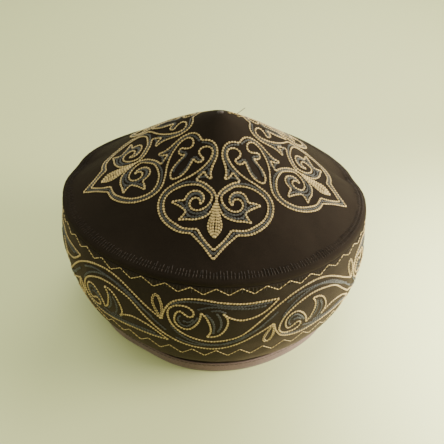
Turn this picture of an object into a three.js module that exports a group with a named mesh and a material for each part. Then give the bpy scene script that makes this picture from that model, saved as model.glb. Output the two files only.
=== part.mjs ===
// Tubeteika skullcap: a cone-shaped velvet crown on a tall bulged side band, with a bound rim.
// Millimetres, +Z up. The origin is the middle of the rim, on the surface that the cap stands on.
// The front faces -Y and +X is to the right of the front. Azimuth runs from the front towards +X.

import * as THREE from "three";

// Main sizes
const RIM_RADIUS = 88;
const SEAM_RADIUS = 98;
const SEAM_HEIGHT = 90.5;
const CROWN_RISE = 53.3;
const BAND_BULGE = 10;
const PEAK_OFFSET = 2;

// The plan is a little shorter from front to back than it is wide
const PLAN_DEPTH_RATIO = 0.96;

// The bulge sits a little above the middle of the band
const BULGE_LEAN = 0.13;

// The stiff hem stands upright at the rim, and the band swells out above it
const HEM_TUCK = 4.5;
const HEM_HEIGHT = 10;
const HEM_SPREAD = 7;

// Lean of the seam ring, in mm of height for each mm sideways: it is high at the left and the front
const LEAN_LEFT = 0.04;
const LEAN_FRONT = 0.04;

// Walls and clearances
const CROWN_WALL = 2.2;
const BAND_WALL = 2.4;
const TAPE_THICKNESS = 1;
const CLEARANCE = 0.3;

// The crown's edge turns down over the top of the band
const LIP_HEIGHT = 3.4;

// The binding's legs, outside and inside the rim
const BINDING_OUTER_LEG = 8;
const BINDING_INNER_LEG = 8;

// Soft forms
const SEAM_WELT = 1.4;
const WELT_HALF_WIDTH = 5;
const FOLD_RISE = 3;
const FOLD_WIDTH = 18;
const PINCH_DEPTH = 2;
const SWELL = 0.8;

// Fineness
const STEPS_AROUND = 96;

const DEGREE = Math.PI / 180;

// Height of the crown above the seam as a share of CROWN_RISE, from the peak to the seam
const CROWN_PROFILE = [
  { reach: 0, height: 1 },
  { reach: 0.05, height: 0.965 },
  { reach: 0.18, height: 0.82 },
  { reach: 0.4, height: 0.575 },
  { reach: 0.7, height: 0.275 },
  { reach: 0.9, height: 0.075 },
  { reach: 1, height: 0 },
];

// The side folds rise as ridges near the peak and sink as dents at the shoulder
const FOLD_PROFILE = [
  { reach: 0, height: 0 },
  { reach: 0.2, height: 1.05 },
  { reach: 0.4, height: 1.7 },
  { reach: 0.6, height: 0.5 },
  { reach: 0.8, height: -0.3 },
  { reach: 0.93, height: -0.8 },
  { reach: 1, height: 0 },
];

// Where the side folds and the pinches of the seam ring lie, in degrees
const FOLDS = [
  { fold: -101, pinch: -98, pinchWidth: 7 },
  { fold: 101, pinch: 102, pinchWidth: 7 },
];

// Broad swells of the crown's back: azimuth and spread in degrees, height in millimetres
const BACK_SWELLS = [
  { middle: -138, spread: 28, height: 2.6 },
  { middle: 140, spread: 24, height: 1.6 },
];

// Upright flutes in the band at both sides: angles in degrees, depth and how far the wall is pressed in
const FLUTES = [
  { middle: -82, spread: 20, pitch: 10, depth: 0.9, press: 0 },
  { middle: 82, spread: 20, pitch: 9, depth: 1.3, press: 1.8 },
];

// Pressed-in stretches of the rim: azimuth and spread in degrees, depth as a share of BAND_BULGE
const RIM_DENTS = [
  { middle: -32, spread: 15, depth: 0.3 },
  { middle: 34, spread: 14, depth: 0.08 },
  { middle: 152, spread: 26, depth: 0.15 },
];

// Stretches of the seam ring that sag at the back, with depths as shares of CROWN_RISE
const SEAM_SAGS = [
  { middle: -138, spread: 36, depth: 0.06 },
  { middle: 122, spread: 28, depth: 0.05 },
];

// Where the rows of the crown's faces lie, from the peak to the seam
const CROWN_REACHES = [
  0.03, 0.07, 0.13, 0.2, 0.28, 0.37, 0.46, 0.55, 0.64, 0.73, 0.81, 0.87, 0.92, 0.965, 1,
];
const CROWN_INNER_REACHES = [0.07, 0.2, 0.37, 0.55, 0.73, 0.87, 1];

// Where the rows of the band's faces lie, as shares of its height from the rim
const BAND_SHARES = [0, 0.04, 0.08, 0.12, 0.17, 0.24, 0.32, 0.4, 0.5, 0.6, 0.7, 0.8, 0.9, 1];
const BAND_INNER_SHARES = [0, 0.04, 0.08, 0.12, 0.17, 0.24, 0.4, 0.6, 0.8, 1];

// Smooth curve through a table of reach and height
function follow(table, reach) {
  const last = table.length - 2;
  let i = 0;
  while (i < last && reach > table[i + 1].reach) i += 1;
  const slopeAt = (k) => {
    const a = table[Math.max(k - 1, 0)];
    const b = table[Math.min(k + 1, table.length - 1)];
    return (b.height - a.height) / (b.reach - a.reach);
  };
  const width = table[i + 1].reach - table[i].reach;
  const u = (reach - table[i].reach) / width;
  const rise = table[i + 1].height - table[i].height;
  const start = slopeAt(i) * width;
  const end = slopeAt(i + 1) * width;
  return table[i].height + u * (start + u * (3 * rise - 2 * start - end + u * (start + end - 2 * rise)));
}

// Angle from one azimuth to another in degrees, between -180 and 180
function turnFrom(azimuth, middle) {
  const turn = azimuth / DEGREE - middle;
  return turn - 360 * Math.round(turn / 360);
}

function bell(value, spread) {
  return Math.exp(-((value / spread) ** 2));
}

function sag(azimuth) {
  const share = SEAM_SAGS.reduce((sum, d) => sum + d.depth * bell(turnFrom(azimuth, d.middle), d.spread), 0);
  return share * CROWN_RISE;
}

// How much the leaning plane of the seam rises at a radius
function lean(radius, azimuth) {
  return radius * (LEAN_FRONT * Math.cos(azimuth) - LEAN_LEFT * Math.sin(azimuth));
}

function seamHeight(azimuth) {
  return SEAM_HEIGHT + lean(SEAM_RADIUS, azimuth) - sag(azimuth);
}

// How far the folds pinch the seam ring in
function pinch(azimuth) {
  return FOLDS.reduce((sum, f) => sum + PINCH_DEPTH * bell(turnFrom(azimuth, f.pinch), f.pinchWidth), 0);
}

// Radius of the band's outer face at a share of the seam's height
function bandRadius(share, azimuth) {
  const barrel = BAND_BULGE * 4 * share * (1 - share) * (1 + BULGE_LEAN * (2 * share - 1));
  const welt = SEAM_WELT * bell((1 - share) * SEAM_HEIGHT, WELT_HALF_WIDTH);
  const hem = HEM_TUCK * bell(share * SEAM_HEIGHT - HEM_HEIGHT, HEM_SPREAD);
  const dents = RIM_DENTS.reduce(
    (sum, d) => sum + d.depth * BAND_BULGE * bell(turnFrom(azimuth, d.middle), d.spread), 0);
  const flutes = FLUTES.reduce((sum, f) => {
    const turn = turnFrom(azimuth, f.middle);
    const flute = f.depth * Math.cos((2 * Math.PI * turn) / f.pitch) * Math.sin(Math.PI * share) ** 2;
    return sum + (flute - f.press * Math.sin(Math.PI * share ** 2) ** 2) * bell(turn, f.spread);
  }, 0);
  const straight = RIM_RADIUS + (SEAM_RADIUS - RIM_RADIUS) * share;
  const pressed = hem + pinch(azimuth) * share ** 3 + dents * (1 - share) ** 2;
  return straight + barrel + welt - pressed + flutes;
}

// Point of the plan at a radius and a height
function planPoint(radius, azimuth, height, shift) {
  return [
    radius * Math.sin(azimuth) + shift,
    -radius * PLAN_DEPTH_RATIO * Math.cos(azimuth),
    height,
  ];
}

function bandPoint(height, azimuth, inset) {
  return planPoint(bandRadius(height / seamHeight(azimuth), azimuth) - inset, azimuth, height, 0);
}

// Point of the crown's outer face, or of its inner face when it is set in by the wall
function crownPoint(reach, azimuth, inset, drop) {
  const edge = SEAM_RADIUS + SEAM_WELT - pinch(azimuth) - inset;
  const radius = edge * reach;
  const folds = FOLDS.reduce((sum, f) => {
    const across = Math.abs(turnFrom(azimuth, f.fold)) * DEGREE * radius;
    return sum + FOLD_RISE * follow(FOLD_PROFILE, reach) * Math.exp(-across / FOLD_WIDTH);
  }, 0);
  const back = BACK_SWELLS.reduce(
    (sum, s) => sum + s.height * bell(turnFrom(azimuth, s.middle), s.spread), 0);
  const swell = (SWELL * Math.sin(3 * azimuth + 1) + back) * Math.sin(Math.PI * reach) ** 2;
  const soft = folds + swell - sag(azimuth) * reach ** 2;
  const cone = SEAM_HEIGHT + CROWN_RISE * follow(CROWN_PROFILE, reach) + lean(radius, azimuth);
  return planPoint(radius, azimuth, cone + soft - drop, PEAK_OFFSET * (1 - reach));
}

// Closed mesh from rows of points around the cap, with a pole at each end where one is given
function closedMesh(name, rows, poles, colour, roughness) {
  const points = rows.flat();
  const faces = [];
  const at = (row, step) => row * STEPS_AROUND + (step % STEPS_AROUND);
  const joined = poles ? rows.length - 1 : rows.length;
  for (let row = 0; row < joined; row += 1) {
    const next = (row + 1) % rows.length;
    for (let step = 0; step < STEPS_AROUND; step += 1) {
      faces.push(at(row, step), at(next, step), at(row, step + 1));
      faces.push(at(row, step + 1), at(next, step), at(next, step + 1));
    }
  }
  if (poles) {
    const top = points.length;
    points.push(poles.start, poles.end);
    for (let step = 0; step < STEPS_AROUND; step += 1) {
      faces.push(top, at(0, step), at(0, step + 1));
      faces.push(top + 1, at(rows.length - 1, step + 1), at(rows.length - 1, step));
    }
  }
  const geometry = new THREE.BufferGeometry();
  geometry.setAttribute("position", new THREE.Float32BufferAttribute(points.flat(), 3));
  geometry.setIndex(faces);
  geometry.computeVertexNormals();
  const material = new THREE.MeshStandardMaterial({ color: colour, roughness, metalness: 0 });
  const mesh = new THREE.Mesh(geometry, material);
  mesh.name = name;
  return mesh;
}

function around(pointAt) {
  return Array.from({ length: STEPS_AROUND }, (_, step) => pointAt((2 * Math.PI * step) / STEPS_AROUND));
}

function makeCrown() {
  const drop = CROWN_WALL * Math.hypot(1, CROWN_RISE / SEAM_RADIUS);
  const lip = (inset) => around((azimuth) => {
    const radius = SEAM_RADIUS + SEAM_WELT - pinch(azimuth) - inset;
    return planPoint(radius, azimuth, seamHeight(azimuth) - LIP_HEIGHT, 0);
  });
  const rows = [
    ...CROWN_REACHES.map((reach) => around((azimuth) => crownPoint(reach, azimuth, 0, 0))),
    lip(0),
    lip(CROWN_WALL),
    ...[...CROWN_INNER_REACHES].reverse().map(
      (reach) => around((azimuth) => crownPoint(reach, azimuth, CROWN_WALL, drop))),
  ];
  const poles = { start: crownPoint(0, 0, 0, 0), end: crownPoint(0, 0, CROWN_WALL, drop) };
  return closedMesh("crown", rows, poles, 0x1f1a16, 0.95);
}

function makeSideBand() {
  const foot = TAPE_THICKNESS + CLEARANCE;
  const ring = (share, inset) => around((azimuth) => {
    const top = seamHeight(azimuth) - LIP_HEIGHT - CLEARANCE;
    return bandPoint(foot + (top - foot) * share, azimuth, inset);
  });
  const rows = [
    ...[...BAND_SHARES].reverse().map((share) => ring(share, 0)),
    ...BAND_INNER_SHARES.map((share) => ring(share, BAND_WALL)),
  ];
  return closedMesh("side_band", rows, null, 0x2a211a, 0.95);
}

// Tape folded round the rim: its section is a U whose flat foot is the standing surface
function makeEdgeBinding() {
  const near = CLEARANCE;
  const far = CLEARANCE + TAPE_THICKNESS;
  const section = [
    { height: BINDING_OUTER_LEG, inset: -near - TAPE_THICKNESS / 2 },
    { height: BINDING_OUTER_LEG - TAPE_THICKNESS / 2, inset: -far },
    { height: TAPE_THICKNESS / 2, inset: -far },
    { height: 0, inset: -near },
    { height: 0, inset: BAND_WALL + near },
    { height: TAPE_THICKNESS / 2, inset: BAND_WALL + far },
    { height: BINDING_INNER_LEG, inset: BAND_WALL + far },
    { height: BINDING_INNER_LEG, inset: BAND_WALL + near },
    { height: TAPE_THICKNESS, inset: BAND_WALL + near },
    { height: TAPE_THICKNESS, inset: -near },
    { height: BINDING_OUTER_LEG, inset: -near },
  ];
  const rows = section.map(
    (corner) => around((azimuth) => bandPoint(corner.height, azimuth, corner.inset)));
  return closedMesh("edge_binding", rows, null, 0x6f4c44, 0.8);
}

const cap = new THREE.Group();
cap.add(makeCrown(), makeSideBand(), makeEdgeBinding());

export default cap;
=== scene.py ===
"""Tubeteika skullcap: velvet crown and band, chain stitch embroidery, bound rim, and its stage."""

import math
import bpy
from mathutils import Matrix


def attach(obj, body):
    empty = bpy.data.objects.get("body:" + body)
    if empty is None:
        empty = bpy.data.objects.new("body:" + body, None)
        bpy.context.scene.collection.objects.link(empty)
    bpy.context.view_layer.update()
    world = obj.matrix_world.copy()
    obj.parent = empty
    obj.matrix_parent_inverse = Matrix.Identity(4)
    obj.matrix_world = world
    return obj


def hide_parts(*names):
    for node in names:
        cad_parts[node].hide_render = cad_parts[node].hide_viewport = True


bl_info = {
    "name": "Tubeteika skullcap",
    "version": (1, 0, 0),
    "blender": (4, 5, 0),
    "location": "View3D > Sidebar > Skullcap",
    "description": "Dresses the packed skullcap in velvet and chain stitch, and sets its stage",
    "category": "Object",
}

import bmesh
import bpy
from bpy.props import FloatProperty, FloatVectorProperty, IntProperty, PointerProperty
from mathutils import Matrix, Vector, noise

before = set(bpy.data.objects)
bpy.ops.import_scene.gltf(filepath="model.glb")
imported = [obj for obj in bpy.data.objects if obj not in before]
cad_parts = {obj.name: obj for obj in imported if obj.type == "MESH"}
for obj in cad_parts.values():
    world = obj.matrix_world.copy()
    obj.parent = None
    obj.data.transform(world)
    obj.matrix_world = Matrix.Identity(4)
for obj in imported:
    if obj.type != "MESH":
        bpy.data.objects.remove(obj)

MM = 0.001

# Sizes of the cap in millimetres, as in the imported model
RIM_RADIUS = 88
SEAM_RADIUS = 98
SEAM_HEIGHT = 90.5
CROWN_RISE = 53.3
BAND_BULGE = 10
PEAK_OFFSET = 2
PLAN_DEPTH_RATIO = 0.96
BULGE_LEAN = 0.13
HEM_TUCK = 4.5
HEM_HEIGHT = 10
HEM_SPREAD = 7
LEAN_LEFT = 0.04
LEAN_FRONT = 0.04
CROWN_WALL = 2.2
BAND_WALL = 2.4
TAPE_THICKNESS = 1
CLEARANCE = 0.3
LIP_HEIGHT = 3.4
BINDING_LEG = 8
SEAM_WELT = 1.4
WELT_HALF_WIDTH = 5
FOLD_RISE = 3
FOLD_WIDTH = 18
PINCH_DEPTH = 2
SWELL = 0.8

# Crown profile: reach from the peak to the seam, height as a share of CROWN_RISE
CROWN_PROFILE = [(0, 1), (0.05, 0.965), (0.18, 0.82), (0.4, 0.575), (0.7, 0.275), (0.9, 0.075), (1, 0)]

# Side folds along the crown: reach, height as a share of FOLD_RISE
FOLD_PROFILE = [(0, 0), (0.2, 1.05), (0.4, 1.7), (0.6, 0.5), (0.8, -0.3), (0.93, -0.8), (1, 0)]

# Side folds: azimuth of the fold, azimuth of its pinch in the seam, width of the pinch, in degrees
FOLDS = [(-101, -98, 7), (101, 102, 7)]

# Broad swells of the crown's back: azimuth and spread in degrees, height in millimetres
BACK_SWELLS = [(-138, 28, 2.6), (140, 24, 1.6)]

# Flutes of the band: azimuth, spread and pitch in degrees, depth and how far the wall is pressed in
FLUTES = [(-82, 20, 10, 0.9, 0), (82, 20, 9, 1.3, 1.8)]

# Dents of the rim: azimuth and spread in degrees, depth as a share of BAND_BULGE
RIM_DENTS = [(-32, 15, 0.3), (34, 14, 0.08), (152, 26, 0.15)]

# Sags of the seam: azimuth and spread in degrees, depth as a share of CROWN_RISE
SEAM_SAGS = [(-138, 36, 0.06), (122, 28, 0.05)]

# The crown's pattern: five palmettes, their middle a little in front of the peak, in millimetres
PALMETTES = 5
PALMETTE_TURN = 0.6
PATTERN_SHIFT = (1.5, -4)
PATTERN_FADE = 70

# Crown outline of half a palmette, from its tip round its lobe into the heart beside it.
# Each row is radius in millimetres and turn from the palmette's middle in degrees; rows between two
# corners join in a smooth curve.
CROWN_OUTER_LINES = [
    [(86.7, 0), (79.6, 4.5), (73.9, 10)],
    [(73.9, 10), (74.3, 14), (73.8, 17.4), (72.3, 21.2), (70.2, 24.9), (67.6, 28), (64.2, 30.8),
     (61.2, 32.6), (58.2, 33.7), (54.9, 34.2), (51.3, 33.5), (48, 31.4), (44.6, 28.4), (41.6, 24.6),
     (38.2, 20.6), (34.4, 16.4), (31, 13.2), (27.8, 10.6), (24.6, 9.6), (22.3, 11.4), (21.1, 16.7),
     (21.3, 23), (22.6, 27.4), (24.6, 29.5), (26.3, 27.6), (27.5, 23.4), (28.6, 18.6)],
    [(28.6, 18.6), (30.4, 19.4), (31.5, 22), (31.5, 26), (30.3, 30)],
    [(30.3, 30), (33, 29.6), (36.4, 29.2), (39.8, 29.8), (42.6, 31.2), (44.7, 33.4), (46, 36)],
]

# Crown outline of the inner side: the heart's top, the spurs, the lobe's inner line and the leaf scroll
CROWN_INNER_LINES = [
    [(18.9, 36), (17.8, 29), (17.3, 22), (17.8, 13.8), (19.7, 7), (22.3, 4.2), (25.3, 3.4), (28.4, 4.7),
     (31.7, 6.5), (34.5, 7.2), (37.2, 7), (40, 5.4)],
    [(40, 5.4), (39.4, 9), (36.1, 13.2)],
    [(36.1, 13.2), (38.8, 15.6), (42.2, 17.4)],
    [(42.2, 17.4), (42.9, 11.4), (45.1, 5.8), (47.9, 2.2), (50.7, 0.6), (53, 0)],
    [(53, 0), (58.8, 2.1), (62, 3.8), (64.2, 6.4), (66, 10.5), (66.5, 14), (67.9, 17.7)],
    [(67.9, 17.7), (64.4, 16.2), (61.7, 15.8)],
    [(61.7, 15.8), (59.7, 20.1), (58.6, 25.8)],
    [(58.6, 25.8), (56.6, 22.6), (55.7, 19.2)],
    [(55.7, 19.2), (52.9, 18.9), (50.2, 18), (48.6, 15), (48.9, 11.2), (51.3, 8.3), (54.5, 7.9),
     (56.5, 9.5)],
    [(56.5, 9.5), (54, 9.7), (52.8, 11.6), (52.9, 13.8), (54.8, 15.5), (57.3, 15.4), (59.7, 13.6),
     (60.4, 11.2), (59.6, 8), (56.9, 5), (53.6, 3.2), (50.6, 3), (48.6, 4.8), (46.7, 8.1), (44.9, 12.2),
     (45, 17.2), (46.3, 22.4), (48.4, 26.3), (51.8, 29.4), (55, 30.7), (58, 30.7), (61.2, 29.4),
     (64.5, 27.2), (67.4, 24.3), (69.4, 20.9), (70.8, 17.4), (71.9, 14), (71.2, 7.7)],
    [(71.2, 7.7), (76.3, 4.4), (81.8, 0)],
]

# Half of the bud in the palmette's middle, which rows of stitches fill
BUD_LINE = [(53, 0), (58, 0.9), (63, 2.2), (67.5, 3.1), (70.5, 2.9), (73, 1.6), (75.2, 0)]

# Dark blue rows of the crown, of half a palmette: between the outlines, in the scroll and in the heart
CROWN_NAVY_LINES = [
    [(84.2, 0), (77.8, 4.6), (72.4, 9)],
    [(72.6, 9.4), (73.1, 14), (72.3, 17.5), (70.9, 21), (68.9, 24.6), (66.2, 27.6), (62.8, 30), (59.7, 31.5),
     (56.6, 32.4), (53.2, 32), (49.8, 30.3), (47.2, 27.6), (44.8, 24), (43.6, 19), (43.7, 14), (45.4, 8.4),
     (48, 4.2), (50.8, 1.8)],
    [(54.4, 9), (51.8, 9.6), (50.4, 12), (50.8, 15.2), (53, 17), (56, 17.3), (59, 16.4), (61.7, 13.4),
     (62.4, 10), (61, 6.6), (58.4, 4.2), (55.4, 2.9)],
    [(57.6, 22.8), (57.9, 19.6), (60.6, 16.6), (64.1, 14), (64.5, 10.6), (63.2, 7.2), (60.8, 4.4)],
    [(66.4, 16), (63.8, 13)],
    [(55.2, 17.8), (51.6, 16.6), (49.8, 13.6), (50, 11), (52.2, 9)],
    [(19.9, 34), (19.4, 29), (19.2, 22), (19.5, 15), (21, 9.4), (23.6, 6.8), (26.4, 6.9), (29.6, 8.8),
     (33, 11.2), (36, 14.8), (38.8, 18)],
    [(38, 8.4), (35.6, 9.2), (33.8, 9.6)],
    [(41.2, 18.2), (40.2, 15.2), (39, 11.4), (40, 7.6)],
    [(29.6, 19.6), (30.4, 22.4), (29.2, 26.8), (29.3, 31), (32, 31.4), (35.6, 30.7), (39.2, 31.2), (42, 33)],
]

# The band's frieze: units that swing to and fro about the band's middle.
# Each row is turn from the unit's middle in degrees and share of the seam's height.
FRIEZE_UNITS = 10
FRIEZE_START = 3.8
FRIEZE_MIDDLE = 0.663
FRIEZE_LINES = [
    [(-19.2, 0.68), (-18.4, 0.74), (-17.1, 0.795), (-15, 0.84), (-11, 0.868), (-6.5, 0.874), (-0.3, 0.858),
     (6.5, 0.845), (13, 0.847), (18.3, 0.847)],
    [(18.3, 0.847), (15.5, 0.797), (12.4, 0.752), (9, 0.727), (5.7, 0.72), (2.4, 0.745), (0.3, 0.778)],
    [(0.3, 0.778), (1.6, 0.742), (1.8, 0.69), (0.2, 0.612), (-2.2, 0.574), (-4.8, 0.57)],
    [(-4.8, 0.57), (-3.6, 0.61), (-3.6, 0.668), (-4.8, 0.74), (-6.5, 0.778)],
    [(-6.5, 0.778), (-6.8, 0.729), (-8, 0.677), (-10.4, 0.63), (-13, 0.636), (-14.8, 0.682), (-14.6, 0.741),
     (-13.2, 0.775), (-11.6, 0.754), (-10.1, 0.734), (-8.7, 0.756), (-9.2, 0.792), (-11.4, 0.816),
     (-14.6, 0.81), (-16.6, 0.776), (-17, 0.728), (-16, 0.66), (-13.6, 0.6), (-9.8, 0.552), (-5.2, 0.524),
     (-0.5, 0.527), (5.6, 0.567), (11, 0.668), (15.3, 0.752), (18.8, 0.806), (23.5, 0.856), (29, 0.886),
     (34, 0.89), (38.6, 0.866), (43, 0.818), (47, 0.762), (50, 0.72), (52.8, 0.68)],
]

# Teardrop loop where two vines cross
FRIEZE_LOOP = [
    (-19.2, 0.68), (-20.8, 0.74), (-22, 0.8), (-21.6, 0.85), (-20.3, 0.856), (-19.2, 0.81), (-18.8, 0.75),
    (-19.2, 0.68),
]

FRIEZE_NAVY_LINES = [
    [(-16, 0.812), (-12, 0.846), (-6.5, 0.853), (0, 0.838), (6, 0.826), (12, 0.83), (16, 0.832)],
    [(-7.6, 0.8), (-3, 0.826), (3, 0.816), (9, 0.806), (14, 0.812)],
    [(-7.4, 0.74), (-8.6, 0.7), (-10.8, 0.656), (-12.8, 0.664), (-13.8, 0.71), (-12.8, 0.742)],
    [(-8.8, 0.72), (-10.4, 0.69), (-12.2, 0.7)],
    [(-5, 0.77), (-3, 0.72), (-2.4, 0.66), (-2.8, 0.604)],
    [(-1.6, 0.78), (-0.4, 0.73), (-0.3, 0.67), (-1.4, 0.62)],
    [(-3.4, 0.796), (-0.6, 0.8), (1.2, 0.78)],
    [(-16.2, 0.64), (-14, 0.578), (-10.4, 0.522), (-5.8, 0.488), (-0.8, 0.484), (4.8, 0.516), (9.8, 0.59),
     (14, 0.67), (18, 0.744)],
    [(21, 0.8), (26, 0.842), (31, 0.85), (36, 0.836), (41, 0.79), (46, 0.724), (49.6, 0.676)],
]

# Zigzag rows of the band: points around, azimuth of a point at its top, shares of the seam's height
ZIGZAGS = [(45, 2, 0.91, 0.955), (45, 2, 0.338, 0.412)]
ZIGZAG_STEPS = 5

# Rows of stitches in the bud, as shares of its width
BUD_ROWS = (0.25, 0.62, 1)

# Stitches, in millimetres; the twist is how far a stitch slants, as a share of its width
STITCH_PITCH = 1.8
STITCH_WIDTH = 1.15
STITCH_TWIST = 0.9
NAVY_PITCH = 1.9
NAVY_WIDTH = 1.3
LOOP_WIDTH = 1.7
ZIGZAG_PITCH = 2.3
ZIGZAG_WIDTH = 0.6
THREAD_RADIUS = 0.27
THREAD_SIDES = 4

# One side of a chain link, and a plain bar: place as a share of the pitch, side as a share of half the
# width, height in thread radii. The link's other side comes back mirrored, a little further on.
LINK_SIDE = [(-0.5, 0.1, -0.5), (-0.22, 0.9, 0.8), (0.12, 1, 1), (0.42, 0.45, -0.2)]
LINK_RETURN = 0.05
BAR = [(-0.46, 0, -0.7), (-0.24, 0, 0.8), (0.2, 0, 0.8), (0.44, 0, -0.7)]

# How far stitches differ in turn, width and height, and how fast that changes along the cloth
UNEVEN_TURN = 0.16
UNEVEN_WIDTH = 0.22
UNEVEN_HEIGHT = 0.3
UNEVEN_SCALE = 2300
UNEVEN_SEED = 1

# Turned edge of the crown: rows of its lip as shares of LIP_HEIGHT, how far it bulges in millimetres and
# the share where the bulge ends, the reach where the rounding starts and its passes
LIP_ROWS = (0.25, 0.5, 0.75, 1)
LIP_BULGE = 0.9
LIP_BULGE_END = 0.75
EDGE_REACH = 0.97
EDGE_PASSES = 3

# Section of the rim's tape: height above the rim and depth behind the band's outer face, in millimetres.
# It runs down the outside, round the rim, up the inside, and back along the tape's inner face.
TAPE_FAR = CLEARANCE + TAPE_THICKNESS
TAPE_SECTION = [
    (BINDING_LEG, -CLEARANCE), (BINDING_LEG, -TAPE_FAR + 0.35), (BINDING_LEG - 0.4, -TAPE_FAR),
    (6, -TAPE_FAR), (4, -TAPE_FAR - 0.25), (2, -TAPE_FAR - 0.2), (0.7, -TAPE_FAR),
    (0.15, -CLEARANCE - 0.4), (0, 0), (0, BAND_WALL), (0.2, BAND_WALL + CLEARANCE + 0.4),
    (0.8, BAND_WALL + TAPE_FAR), (BINDING_LEG - 0.4, BAND_WALL + TAPE_FAR),
    (BINDING_LEG, BAND_WALL + TAPE_FAR - 0.35), (BINDING_LEG, BAND_WALL + CLEARANCE),
    (TAPE_THICKNESS, BAND_WALL + CLEARANCE), (TAPE_THICKNESS, -CLEARANCE), (BINDING_LEG, -CLEARANCE),
]

# Sewing along the rim, in millimetres; the drop is how far it lies below the tape's edge
RIM_PITCH = 3
RIM_WIDTH = 0.5
RIM_THREAD_RADIUS = 0.22
RIM_DROP = 1.1

# Overcast stitches of the seam, in millimetres: their reaches on the crown, how far below the crown's
# lip they come out and end, and how unevenly they start, swing, slant and end
OVERCAST_PITCH = 2.4
OVERCAST_WIDTH = 0.6
OVERCAST_RADIUS = 0.24
OVERCAST_REACHES = (0.94, 0.962, 0.984)
OVERCAST_UNDER = 0.8
OVERCAST_FOOT = 3.4
OVERCAST_UNEVEN_START = 0.02
OVERCAST_SWING = 0.24
OVERCAST_SLANT = 0.006
OVERCAST_UNEVEN_FOOT = 2

# Tuft at the peak: sizes in millimetres, the turn from one fibre to the next in radians, how uneven and
# how flat the tuft is
TUFT_RADIUS = 1.9
TUFT_FIBRES = 26
TUFT_TURN = 2.4
TUFT_BEND = 0.5
TUFT_ROOT_DEPTH = 0.3
TUFT_FIBRE_RADIUS = 0.12
TUFT_UNEVENNESS = 0.35
TUFT_FLATNESS = 0.4

# Cream thread ends beside the tuft: number, reach of the first and step of reach to the next
CREAM_ENDS = 7
CREAM_ENDS_REACH = 0.05
CREAM_ENDS_STEP = 0.012

# Loose thread: where it leaves the crown, and its steps and radius in millimetres
LOOSE_THREAD_REACH = 0.1
LOOSE_THREAD_TURN = 110
LOOSE_THREAD = [(0, 0, -0.4), (2.8, 0, 2.3), (6, 0, 5)]
LOOSE_THREAD_RADIUS = 0.2

# Velvets: share of the brushed pile, and sheen
CROWN_VELVET = (0.15, 0.05)
BAND_VELVET = (0.35, 0.2)

# Threads: roughness, sheen, how far their tone varies, how much painted shade darkens the ends of the
# stitches
EMBROIDERY_FINISH = (0.5, 0.1, 0.35, 0.8)
SEWING_FINISH = (0.6, 0.1, 0.2, 0.5)
OVERCAST_FINISH = (0.9, 0.05, 0.6, 0.6)
TUFT_FINISH = (0.9, 0.2, 0.4, 0)
LOOSE_FINISH = (0.6, 0.1, 0.3, 0)

# How much lighter the tape is in its patches
TAPE_PATCH_GAIN = 1.35

# Steps that give the slope of a face: azimuth in radians, reach of the crown, height in millimetres
AZIMUTH_STEP = 0.004
REACH_STEP = 0.005
HEIGHT_STEP = 0.5

# Vertices nearer than this are one, in metres
MERGE_DISTANCE = 1e-6

# Floor, from its middle to its edge in metres, and the room's soft light
FLOOR_HALF = 4
FLOOR_ROUGHNESS = 0.55
ROOM_COLOR = (0.95, 0.98, 0.74, 1)
ROOM_STRENGTH = 0.8

# Lights: place, width, power in watts and colour, all aimed at the cap's middle
LIGHT_AIM = (0, 0, 0.06)
LIGHTS = [
    ("window", (0.9, 0.0, 0.2), 0.5, 26, (1, 0.92, 0.78)),
    ("back", (0.25, 0.9, 0.75), 0.7, 7, (1, 0.98, 0.9)),
    ("top", (-0.2, -0.1, 1.1), 0.9, 5, (0.97, 1, 0.93)),
]

# Pool of light on the floor at the right: place, aim, width of the cone in degrees, how soft its edge
# and its shadows are, and power in watts
POOL_PLACE = (0.62, -0.42, 0.85)
POOL_AIM = (0.3, -0.1, 0)
POOL_CONE = 27
POOL_BLEND = 0.8
POOL_SOFTNESS = 0.1
POOL_POWER = 210

SENSOR_WIDTH = 36


class SKULLCAP_PG_velvet(bpy.types.PropertyGroup):
    """Velvet of the crown and the band"""

    crown_color: FloatVectorProperty(
        name="Crown", description="Colour of the crown's velvet", subtype="COLOR",
        default=(0.0125, 0.0085, 0.0058), min=0, max=1)
    band_color: FloatVectorProperty(
        name="Band", description="Colour of the band's velvet", subtype="COLOR",
        default=(0.0165, 0.0125, 0.0092), min=0, max=1)
    brushed_color: FloatVectorProperty(
        name="Brushed pile", description="Colour of the pile where it is brushed aside", subtype="COLOR",
        default=(0.038, 0.026, 0.017), min=0, max=1)
    pile_tint: FloatVectorProperty(
        name="Pile tint", description="Colour of the pile where light grazes it", subtype="COLOR",
        default=(0.52, 0.4, 0.24), min=0, max=1)
    crown_rings: IntProperty(
        name="Crown rings", description="Rings of faces from the peak to the seam",
        default=84, min=20, max=160)
    band_rings: IntProperty(
        name="Band rings", description="Rings of faces from the rim to the seam",
        default=56, min=20, max=120)
    sectors: IntProperty(
        name="Sectors", description="Faces around the cap", default=288, min=96, max=480)
    nap_height: FloatProperty(
        name="Nap height", description="How far the pile lies unevenly", unit="LENGTH",
        default=0.00022, min=0, max=0.001)


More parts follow.
